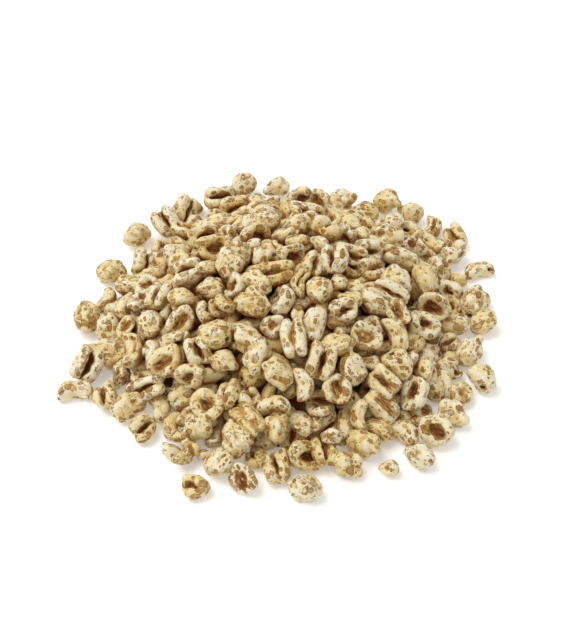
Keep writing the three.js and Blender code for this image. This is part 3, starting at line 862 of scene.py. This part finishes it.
# One kernel's points and quads where it was poured, how deep in its furrow and how hollow they are,
# and the places that its bran's pattern is taken from
def modelKernel(kernel, number):
    shape, bow, cell, shallow, full = shapes[kernel["kind"]]
    size = np.array([kernel["length"], kernel["width"], kernel["thickness"]])
    rng = np.random.default_rng(model["seed"] + number)
    field = shape(rng, *(size / 2))
    if surfaceAt(kernel["x"], kernel["y"]) - kernel["z"] > model["buriedUnder"]:
        cell = cell * model["buriedCell"]
    reach = size / 2 * model["room"][0] + model["room"][1]
    points, quads = surfaceNet(field, -reach, reach, cell)
    points = tighten(field, points, cell)
    depth = -field(*points.T)[1]
    furrow = np.clip((depth - shallow) / (full - shallow), 0, 2)
    points -= (points.max(axis=0) + points.min(axis=0)) / 2
    points *= size / (points.max(axis=0) - points.min(axis=0))
    hollow = hollowsOf(points, quads) / cell ** 2
    grain = points + rng.uniform(-500, 500, 3)
    points[:, 1] += bow * size[0] * (4 * (points[:, 0] / size[0]) ** 2 - 0.4)
    lie = (Matrix.Rotation(kernel["heading"], 3, "Z") @ Matrix.Rotation(-kernel["pitch"], 3, "Y")
           @ Matrix.Rotation(kernel["roll"], 3, "X"))
    points = points @ np.array(lie).T + (kernel["x"], kernel["y"], kernel["z"])
    lowest = points[:, 2].min()
    onTable = kernel["z"] < kernel["radii"][1] + model["onTable"]
    if onTable or lowest < 0:
        points[:, 2] -= lowest
    points[:, 2] -= max(0, points[:, 2].max() - solidBox[1][2] / mm - model["proud"])
    return points, quads, furrow, hollow, grain


coat = {
    "seed": 9000,
    "flaked": 0.22,  # share of flakes that a kernel keeps at least
    "flakedSpread": 0.6,
    "flakedCurve": (1.6, 1.8),
    "flakedTips": 0.12,  # more of them towards its tips
    "tone": 0.44,  # how brown its crumb is
    "toneSpread": 0.45,
    "toneCurve": (2, 2.6),
    "toneMiddle": 0.43,  # of that curve
}


# How many flakes a kernel keeps at each of its points, and how brown it is
def coatOf(kernel, number, grain):
    rng = np.random.default_rng(coat["seed"] + number)
    tips = np.abs((grain - grain.mean(axis=0))[:, 0]) / (kernel["length"] / 2)
    flaked = coat["flaked"] + coat["flakedSpread"] * rng.beta(*coat["flakedCurve"])
    tone = coat["tone"] + coat["toneSpread"] * (rng.beta(*coat["toneCurve"]) - coat["toneMiddle"])
    return flaked + coat["flakedTips"] * tips, np.full(len(grain), tone)


# The solid model's frame is centred on all the kernels, so the heap's axis stands a little off it
def heapAxis(kernels):
    offsets = []
    for number, kernel in enumerate([kernel for kernel in kernels if kernel["apart"]], 1):
        if kernel["kind"] == "plump":
            low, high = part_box(f"loose_kernel_{number}")
            middle = [(low[0] + high[0]) / 2, (low[1] + high[1]) / 2]
            offsets.append([middle[0] - kernel["x"] * mm, middle[1] - kernel["y"] * mm])
    return np.append(np.mean(offsets, axis=0), 0)


# A smooth mesh in the scene, from points in millimetres from the heap's axis
def addPiece(name, points, faces, material):
    mesh = bpy.data.meshes.new(name)
    mesh.from_pydata(points * mm + axis, [], faces)
    mesh.shade_smooth()
    mesh.materials.append(material)
    piece = bpy.data.objects.new(name, mesh)
    bpy.context.collection.objects.link(piece)
    return piece


# Has a piece ride with the heap and stand for one of its solids
def standFor(piece, node):
    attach(piece, "root")
    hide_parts(node)


# Joins kernels into one piece, with what the material reads at each point
def joinKernels(name, parts, material):
    points = np.concatenate([part["points"] for part in parts])
    starts = np.cumsum([0] + [len(part["points"]) for part in parts])
    quads = np.concatenate([part["quads"] + start for part, start in zip(parts, starts)])
    piece = addPiece(name, points, quads, material)
    grain = np.concatenate([part["grain"] for part in parts])
    attributes = piece.data.attributes
    attributes.new("grain", "FLOAT_VECTOR", "POINT").data.foreach_set("vector", grain.ravel())
    for value in ("furrow", "hollow", "occlusion", "tone", "flaked"):
        values = np.concatenate([part[value] for part in parts])
        attributes.new(value, "FLOAT", "POINT").data.foreach_set("value", values)
    return piece


# A screen colour, in parts of 255, as the light it stands for
def paint(*parts):
    return tuple((part / 255 / 12.92) if part < 11 else ((part / 255 + 0.055) / 1.055) ** 2.4
                 for part in parts) + (1,)


# Adds a node. Its sockets are named or counted, and each takes a value or another node's output.
def addNode(tree, kind, sockets=None, **settings):
    node = tree.nodes.new("ShaderNode" + kind)
    for name, value in settings.items():
        setattr(node, name, value)
    for name, value in (sockets or {}).items():
        if isinstance(value, bpy.types.NodeSocket):
            tree.links.new(value, node.inputs[name])
        else:
            node.inputs[name].default_value = value
    return node


# A material with an empty node tree
def newMaterial(name):
    material = bpy.data.materials.new(name)
    material.use_nodes = True
    material.node_tree.nodes.clear()
    return material, material.node_tree


def addSurface(tree, sockets):
    shader = addNode(tree, "BsdfPrincipled", sockets)
    addNode(tree, "OutputMaterial", {"Surface": shader.outputs[0]})


def readAttribute(tree, name, output="Fac"):
    return addNode(tree, "Attribute", attribute_name=name).outputs[output]


def mixColour(tree, share, first, second):
    return addNode(tree, "Mix", {"Factor": share, "A": first, "B": second},
                   data_type="RGBA").outputs["Result"]


def reckon(tree, operation, *values):
    return addNode(tree, "Math", dict(enumerate(values)), operation=operation).outputs[0]


# Follows a value smoothly from low, where it is at its start, to high, where it is at its end
def ramp(tree, value, start, end, low=0.0, high=1.0):
    return addNode(tree, "MapRange", {"Value": value, "From Min": start, "From Max": end, "To Min": low,
                                      "To Max": high}, interpolation_type="SMOOTHSTEP").outputs["Result"]


def noise(tree, place, scale, detail=2.0, roughness=0.5, output="Fac"):
    return addNode(tree, "TexNoise", {"Vector": place, "Scale": scale, "Detail": detail,
                                      "Roughness": roughness}).outputs[output]


def cells(tree, place, scale, feature="F1"):
    return addNode(tree, "TexVoronoi", {"Vector": place, "Scale": scale}, feature=feature)


def stretch(tree, place, scale):
    return addNode(tree, "Mapping", {"Vector": place, "Scale": scale}).outputs[0]


kernelLook = {
    # crumb colours by random tone, also used as painted light on ridges and painted shade in dips and
    # among other kernels
    "pale": paint(242, 235, 210),
    "warm": paint(232, 207, 142),
    "tan": paint(204, 160, 68),
    # painted shade, where a kernel lies hidden among others
    "paintedShade": paint(158, 72, 10),
    # the thin lines' brown, also painted as shade in the dips
    "crease": paint(152, 98, 32),
    "flake": paint(191, 142, 60),
    "flakeDark": paint(150, 106, 38),
    "flakeEdge": paint(108, 60, 12),
    # size in millimetres, how many more of them, and the share of its cell that a flake fills
    "flakes": [(2.3, -0.14, 0.3, 0.6), (1.4, 0.05, 0.28, 0.54)],
    "flakeWander": (1.3, 1.3, 1.3),
    "flakeStretch": (0.66, 1, 1),
    "speck": paint(128, 86, 38),
    "speckSize": 0.9,
    "speckStretch": (0.42, 1.1, 1.1),
    "bran": paint(202, 152, 74),
    "branDark": paint(112, 56, 8),
    "branStretch": (0.4, 2.2, 2.2),
    "roughness": 0.52,
    "gloss": 0.35,
    "glow": 0.25,  # how much light goes through the puffed crumb
    "glowRed": (1.0, 0.55, 0.25),  # red light goes further
    "glowDepth": 1.2,
    "relief": 0.26,
}


# Crumb with a random tone, and painted shade that makes it browner in its dips and where other kernels
# crowd round it, and painted light that makes it paler on its ridges
def colourCrumb(tree, look, hollow, patterns):
    shade = reckon(tree, "ADD", patterns["broad"], readAttribute(tree, "tone"))
    shade = reckon(tree, "MULTIPLY_ADD", ramp(tree, hollow, -0.12, 0.12), 0.4, shade)
    shade = reckon(tree, "MULTIPLY_ADD", patterns["mottle"], 0.5, shade)
    shade = reckon(tree, "MULTIPLY_ADD", readAttribute(tree, "occlusion"), 0.35, shade)
    shade = reckon(tree, "ADD", reckon(tree, "SUBTRACT", patterns["fine"], 0.5), shade)
    crumb = mixColour(tree, ramp(tree, shade, 0.85, 1.6), look["pale"], look["warm"])
    return mixColour(tree, ramp(tree, shade, 1.35, 2.2), crumb, look["tan"])


# Where flakes of bran of one size lie, each with a strength of its own, and where their borders are
def layFlakes(tree, place, size, flaked, narrow, wide):
    middles = cells(tree, place, 1 / size)
    edge = cells(tree, place, 1 / size, "DISTANCE_TO_EDGE").outputs["Distance"]
    chance = addNode(tree, "SeparateColor", {"Color": middles.outputs["Color"]}).outputs
    there = ramp(tree, reckon(tree, "SUBTRACT", reckon(tree, "ADD", chance[0], flaked), 1.0), 0, 0.03)
    reach = ramp(tree, chance[1], 0, 1, wide, narrow)
    rounded = reckon(tree, "SUBTRACT", reach, middles.outputs["Distance"])
    inset = reckon(tree, "SMOOTH_MIN", rounded, reckon(tree, "SUBTRACT", edge, 0.04), 0.12)
    flake = reckon(tree, "MULTIPLY", there, ramp(tree, inset, -0.01, 0.04))
    border = reckon(tree, "MULTIPLY", flake, ramp(tree, inset, 0.03, 0.11, 1, 0))
    strength = reckon(tree, "MULTIPLY", flake, ramp(tree, chance[2], 0, 1, 0.5, 1))
    return strength, border


# Flakes of two sizes, with dark borders that come and go. Also gives how high they stand.
def addFlakes(tree, look, colour, bent, mottle):
    laid = stretch(tree, bent, look["flakeStretch"])
    flakeColour = mixColour(tree, ramp(tree, mottle, 0.35, 0.65), look["flake"], look["flakeDark"])
    broken = ramp(tree, mottle, 0.35, 0.55, 0.2, 1)
    relief = 0.0
    for size, more, narrow, wide in look["flakes"]:
        flaked = reckon(tree, "ADD", readAttribute(tree, "flaked"), more)
        strength, border = layFlakes(tree, laid, size, flaked, narrow, wide)
        colour = mixColour(tree, strength, colour, flakeColour)
        colour = mixColour(tree, reckon(tree, "MULTIPLY", border, broken), colour, look["flakeEdge"])
        relief = reckon(tree, "ADD", strength, relief)
    return colour, relief


# Thin lines that come and go, and painted shade in the dips, in the same brown
def addCreasesAndDipShade(tree, look, colour, grain, hollow, broad):
    line = reckon(tree, "ABSOLUTE", reckon(tree, "SUBTRACT", noise(tree, grain, 0.24, 1), 0.5))
    crease = reckon(tree, "MULTIPLY", ramp(tree, line, 0.0, 0.016, 1, 0), ramp(tree, broad, 0.46, 0.56))
    colour = mixColour(tree, reckon(tree, "MULTIPLY", crease, 0.75), colour, look["crease"])
    return mixColour(tree, ramp(tree, hollow, 0.0, 0.2, 0, 0.8), colour, look["crease"]), crease


# Small dark dashes, in clusters
def addSpecks(tree, look, colour, grain, bent):
    dots = cells(tree, stretch(tree, bent, look["speckStretch"]), 1 / look["speckSize"])
    chance = addNode(tree, "SeparateColor", {"Color": dots.outputs["Color"]}).outputs[0]
    cluster = ramp(tree, noise(tree, grain, 0.35, 1), 0.38, 0.62, 0.0, 0.5)
    there = ramp(tree, reckon(tree, "ADD", chance, cluster), 0.82, 0.88)
    speck = reckon(tree, "MULTIPLY", there, ramp(tree, dots.outputs["Distance"], 0.16, 0.32, 0.9, 0))
    return mixColour(tree, speck, colour, look["speck"])


# Bran in the furrow runs along it, and is darker in kernels with many flakes
def addBran(tree, look, colour, grain, mottle):
    furrow = readAttribute(tree, "furrow")
    fibres = noise(tree, stretch(tree, grain, look["branStretch"]), 1.0, 3, 0.7)
    ragged = reckon(tree, "MULTIPLY_ADD", reckon(tree, "SUBTRACT", fibres, 0.5), 0.9, furrow)
    ragged = reckon(tree, "MULTIPLY_ADD", reckon(tree, "SUBTRACT", mottle, 0.5), 0.9, ragged)
    deep = ramp(tree, ragged, 0.12, 0.5)
    depth = reckon(tree, "MULTIPLY_ADD", readAttribute(tree, "flaked"), 0.35, fibres)
    depth = reckon(tree, "MULTIPLY_ADD", furrow, 0.2, depth)
    bran = mixColour(tree, ramp(tree, depth, 0.6, 1.0), look["bran"], look["branDark"])
    bran = mixColour(tree, ramp(tree, fibres, 0.3, 0.42, 0.7, 0), bran, look["warm"])
    return mixColour(tree, deep, colour, bran), reckon(tree, "MULTIPLY", deep, fibres)


# Puffed crumb with flakes of bran left on it, small dark specks, and a fibrous brown furrow
def puffedGrain(look):
    material, tree = newMaterial("puffed grain")
    grain = readAttribute(tree, "grain", "Vector")
    hollow = readAttribute(tree, "hollow")
    patterns = {"broad": noise(tree, grain, 0.3, 3, 0.6), "mottle": noise(tree, grain, 1.1, 3, 0.6),
                "fine": noise(tree, grain, 2.2, 4, 0.75)}
    wander = noise(tree, grain, 1.0, 4, 0.75, output="Color")
    bent = addNode(tree, "VectorMath", {0: wander, 1: look["flakeWander"], 2: grain},
                   operation="MULTIPLY_ADD").outputs[0]

    colour = colourCrumb(tree, look, hollow, patterns)
    colour, relief = addFlakes(tree, look, colour, bent, patterns["mottle"])
    colour, crease = addCreasesAndDipShade(tree, look, colour, grain, hollow, patterns["broad"])
    colour = addSpecks(tree, look, colour, grain, bent)
    colour, strands = addBran(tree, look, colour, grain, patterns["mottle"])
    # Painted shade: dark brown where a kernel lies hidden among others
    shaded = ramp(tree, readAttribute(tree, "occlusion"), 0.62, 0.97, 0, 0.86)
    colour = mixColour(tree, shaded, colour, look["paintedShade"])

    height = reckon(tree, "MULTIPLY", patterns["fine"], 1.6)
    height = reckon(tree, "MULTIPLY_ADD", relief, 0.3, height)
    height = reckon(tree, "MULTIPLY_ADD", strands, 2.5, height)
    height = reckon(tree, "MULTIPLY_ADD", crease, -2.0, height)
    bump = addNode(tree, "Bump", {"Height": height, "Strength": 0.7, "Distance": look["relief"] * mm})
    addSurface(tree, {
        "Base Color": colour,
        "Roughness": look["roughness"],
        "Specular IOR Level": look["gloss"],
        "Subsurface Weight": look["glow"],
        "Subsurface Radius": look["glowRed"],
        "Subsurface Scale": look["glowDepth"] * mm,
        "Normal": bump.outputs[0],
    })
    return material


print("Pouring the kernels")
kernels = pourKernels()
axis = heapAxis(kernels)


def ballsRound(kernel):
    lie = [kernel[key] for key in ("x", "y", "z", "heading", "pitch")]
    return np.column_stack([*ballsOf(kernel, *lie), kernel["radii"]])


poured = len(kernels)
fillGaps(kernels, np.concatenate([ballsRound(kernel) for kernel in kernels]))
print("Filling gaps with", len(kernels) - poured, "kernels")

print("Shaping", len(kernels), "kernels")
parts = {}
strays = []
balls = [ballsRound(kernel) for kernel in kernels]
for number, kernel in enumerate(kernels):
    points, quads, furrow, hollow, grain = modelKernel(kernel, number)
    flaked, tone = coatOf(kernel, number, grain)
    occlusion = occlusionOf(points, quads, kernel, np.concatenate(balls[:number] + balls[number + 1:]))
    part = {"points": points, "quads": quads, "furrow": furrow, "hollow": hollow, "occlusion": occlusion,
            "grain": grain, "flaked": flaked, "tone": tone}
    if kernel["apart"]:
        strays.append((kernel["kind"], part))
    else:
        parts.setdefault(kernel["kind"], []).append(part)

material = puffedGrain(kernelLook)
for kind, group in parts.items():
    standFor(joinKernels(f"{kind}_kernels", group, material), "heap")
    print(kind, len(group), "kernels,", sum(2 * len(part["quads"]) for part in group), "triangles")
for number, (kind, part) in enumerate(strays, 1):
    standFor(joinKernels(f"stray_{kind}_kernel_{number}", [part], material), f"loose_kernel_{number}")

core = {
    "turns": 96,
    "rings": 26,
    "reach": 0.8,  # share of the mound's reach
    "cover": 8,  # millimetres below the heap's surface, as are its lumps
    "lumps": 1.6,
    "thin": 0.4,  # its height where the heap has no room for more
    "lift": 0.1,  # its base, just off the table
    # painted shade: the colours of kernels deep in shadow
    "colour": paint(160, 110, 50),
    "colourDark": paint(76, 42, 14),
    "roughness": 0.8,
    "gloss": 0.2,
}


# The dark, knobbly look of kernels in deep shade
def shadedGrain(core):
    material, tree = newMaterial("shaded grain")
    place = stretch(tree, addNode(tree, "TexCoord").outputs["Object"], (1 / mm, 1 / mm, 1 / mm))
    away = cells(tree, place, 0.16).outputs["Distance"]
    colour = mixColour(tree, ramp(tree, away, 0.1, 0.7), core["colour"], core["colourDark"])
    bump = addNode(tree, "Bump", {"Height": away, "Distance": 2 * mm}, invert=True)
    addSurface(tree, {
        "Base Color": colour,
        "Roughness": core["roughness"],
        "Specular IOR Level": core["gloss"],
        "Normal": bump.outputs[0],
    })
    return material


# The shaded inside of the heap, seen only through the gaps between kernels: rings of points from
# its top down to its edge, and a base
def makeCore(core):
    turns = core["turns"]
    points = []
    for ring in range(1, core["rings"] + 1):
        for turn in range(turns):
            angle = 2 * math.pi * turn / turns
            reach = float(rimAt(math.cos(angle), math.sin(angle))) * core["reach"] * ring / core["rings"]
            x, y = reach * math.cos(angle), reach * math.sin(angle)
            lump = core["lumps"] * math.sin(0.9 * x + 0.4 * y) * math.sin(0.8 * y - 0.3 * x)
            height = max(core["thin"], float(surfaceAt(x, y)) - core["cover"] + lump)
            points.append((x, y, height))
    top = len(points)
    points.append((0, 0, max(core["thin"], float(surfaceAt(0, 0)) - core["cover"])))
    points += [(x, y, core["lift"]) for x, y, _ in points[top - turns:top]]

    outer, base = top - turns, top + 1
    faces = [(top, turn, (turn + 1) % turns) for turn in range(turns)]
    starts = [(ring * turns, (ring + 1) * turns) for ring in range(core["rings"] - 1)] + [(outer, base)]
    for inside, outside in starts:
        for turn in range(turns):
            ahead = (turn + 1) % turns
            faces.append((inside + turn, outside + turn, outside + ahead, inside + ahead))
    faces.append([base + turn for turn in reversed(range(turns))])
    return addPiece("heap_core", np.array(points), faces, shadedGrain(core))


print("Making the core")
standFor(makeCore(core), "heap")

floor = {
    "side": 3,  # metres
    "colour": (0.9, 0.9, 0.9, 1),
    "roughness": 0.9,
    "glow": 0.22,
}


def makeFloor(floor):
    half = floor["side"] / 2
    square = [(-half, -half, 0), (half, -half, 0), (half, half, 0), (-half, half, 0)]
    mesh = bpy.data.meshes.new("table")
    mesh.from_pydata(square, [], [(0, 1, 2, 3)])
    table = bpy.data.objects.new("table", mesh)
    bpy.context.collection.objects.link(table)
    material, tree = newMaterial("white table")
    addSurface(tree, {
        "Base Color": floor["colour"],
        "Roughness": floor["roughness"],
        "Specular IOR Level": 0,
        "Emission Color": (1, 1, 1, 1),
        "Emission Strength": floor["glow"],
    })
    mesh.materials.append(material)


print("Setting the table, the lights and the camera")
makeFloor(floor)
studio = {
    "sky": 0.64,
    "sun": 1.78,  # watts for each square metre
    "sunFrom": (-0.5, 0.12, 1),
    "sunWidth": 45,  # degrees
    "target": (2 * mm, 4 * mm, 4 * mm),  # from the heap's axis
    "elevation": 46,
    "distance": 0.55,
    "lens": 100,
}
world = bpy.data.worlds.new("studio")
world.use_nodes = True
world.node_tree.nodes["Background"].inputs["Color"].default_value = (1, 1, 1, 1)
world.node_tree.nodes["Background"].inputs["Strength"].default_value = studio["sky"]
bpy.context.scene.world = world
light = bpy.data.lights.new("softbox", "SUN")
light.energy = studio["sun"]
light.angle = math.radians(studio["sunWidth"])
softbox = bpy.data.objects.new("softbox", light)
softbox.rotation_euler = (-Vector(studio["sunFrom"])).to_track_quat("-Z", "Y").to_euler()
bpy.context.collection.objects.link(softbox)

camera = bpy.data.objects.new("camera", bpy.data.cameras.new("camera"))
camera.data.lens = studio["lens"]
tilt = math.radians(studio["elevation"])
back = Vector((0, -math.cos(tilt), math.sin(tilt)))
camera.location = Vector(studio["target"]) + Vector(axis) + back * studio["distance"]
camera.rotation_euler = (-back).to_track_quat("-Z", "Y").to_euler()
bpy.context.collection.objects.link(camera)
bpy.context.scene.camera = camera
bpy.context.scene.view_settings.view_transform = "Standard"
